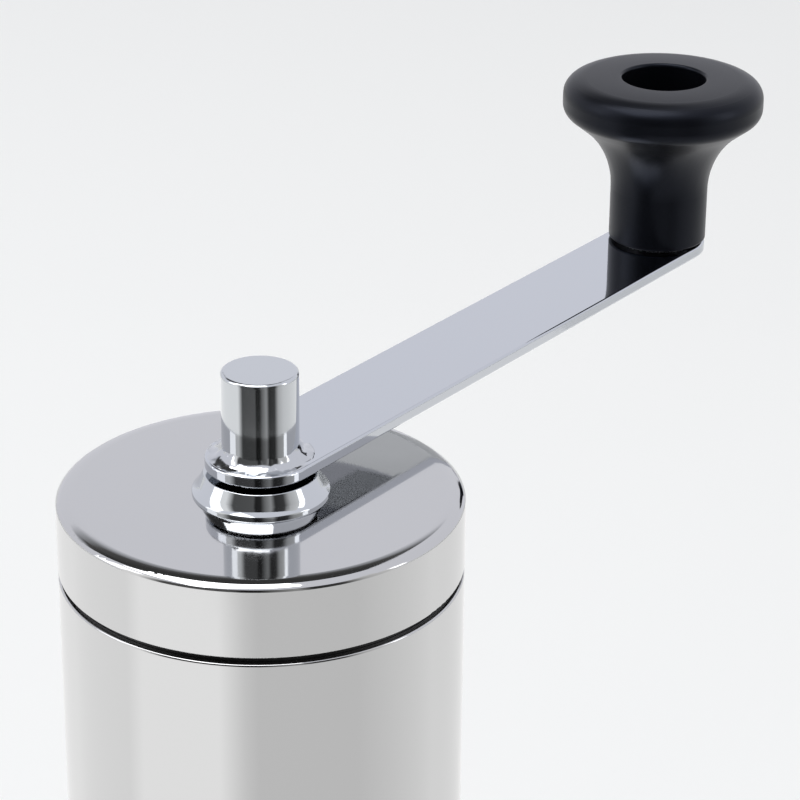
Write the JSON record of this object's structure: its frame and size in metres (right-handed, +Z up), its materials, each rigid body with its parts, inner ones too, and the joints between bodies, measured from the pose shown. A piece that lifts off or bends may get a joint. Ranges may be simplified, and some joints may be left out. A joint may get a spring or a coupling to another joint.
{
  "type": "manual coffee grinder",
  "caption": "Slim steel hand coffee grinder: bean tube over a coffee cup, polished lid with collar, flat crank arm with closed socket and black mushroom knob, ceramic cone burrs inside.",
  "frame": {"origin": "centre of the base, on the surface the cup stands on", "axes": "+Z up along the shaft, +X along the crank arm at rest, +Y to its left"},
  "size_m": [0.1273, 0.049, 0.1884],
  "materials": {
    "polished_steel": "stainless steel polished to a mirror",
    "turned_steel": "turned and polished stainless steel",
    "arm_steel": "stamped stainless steel, tumbled and polished",
    "weld_steel": "polished weld metal",
    "spring_steel": "drawn stainless spring steel",
    "black_plastic": "satin moulded polypropylene",
    "knob_plastic": "satin moulded plastic",
    "acetal": "natural acetal",
    "seal_silicone": "translucent grey silicone rubber",
    "burr_ceramic": "sintered ceramic, unglazed",
    "insert_brass": "machined brass"
  },
  "bodies": {
    "container": {"container_cup": "polished_steel"},
    "housing": {"hopper_shell": "polished_steel", "bearing_bridge": "black_plastic", "burr_housing": "black_plastic", "upper_bush": "acetal", "lower_bush": "acetal", "container_seal": "seal_silicone", "outer_burr": "burr_ceramic", "burr_holder": "black_plastic"},
    "drive": {"drive_shaft": "turned_steel", "shaft_clip": "spring_steel", "thrust_washer": "spring_steel", "spring_washer": "spring_steel", "burr_spring": "spring_steel"},
    "grind": {"inner_burr": "burr_ceramic", "burr_carrier": "black_plastic"},
    "dial": {"adjust_nut": "black_plastic", "nut_insert": "insert_brass"},
    "lid": {"lid_cap": "polished_steel", "lid_collar": "turned_steel"},
    "crank": {"crank_arm": "arm_steel", "socket_post": "turned_steel", "weld_bead": "weld_steel", "knob_axle": "turned_steel", "knob_washer": "spring_steel"},
    "knob": {"knob": "knob_plastic"}
  },
  "joints": [
    {"name": "body_lift", "type": "slide", "parent": "container", "child": "housing", "axis": [0, 0, 1], "range_m": [0, 0.075]},
    {"name": "crank_turn", "type": "hinge", "parent": "housing", "child": "drive", "pos_m": [0, 0, 0.1], "axis": [0, 0, 1], "continuous": true},
    {"name": "burr_gap", "type": "slide", "parent": "drive", "child": "grind", "axis": [0, 0, 1], "range_m": [-0.0011, 0.0004], "deforming": ["burr_spring"]},
    {"name": "dial_turn", "type": "hinge", "parent": "grind", "child": "dial", "pos_m": [0, 0, 0.056], "axis": [0, 0, 1], "range_deg": [-396, 144]},
    {"name": "crank_lift", "type": "slide", "parent": "drive", "child": "crank", "axis": [0, 0, 1], "range_m": [0, 0.06]},
    {"name": "knob_spin", "type": "hinge", "parent": "crank", "child": "knob", "pos_m": [0.089, 0, 0.175], "axis": [0, 0, 1], "continuous": true},
    {"name": "lid_lift", "type": "slide", "parent": "housing", "child": "lid", "axis": [0, 0, 1], "range_m": [0, 0.03]}
  ],
  "couplings": [
    {"joint": "dial_turn", "follows": "burr_gap", "rad_per_m": 6283.2},
    {"joint": "lid_lift", "follows": "crank_lift", "ratio": 0.5}
  ]
}
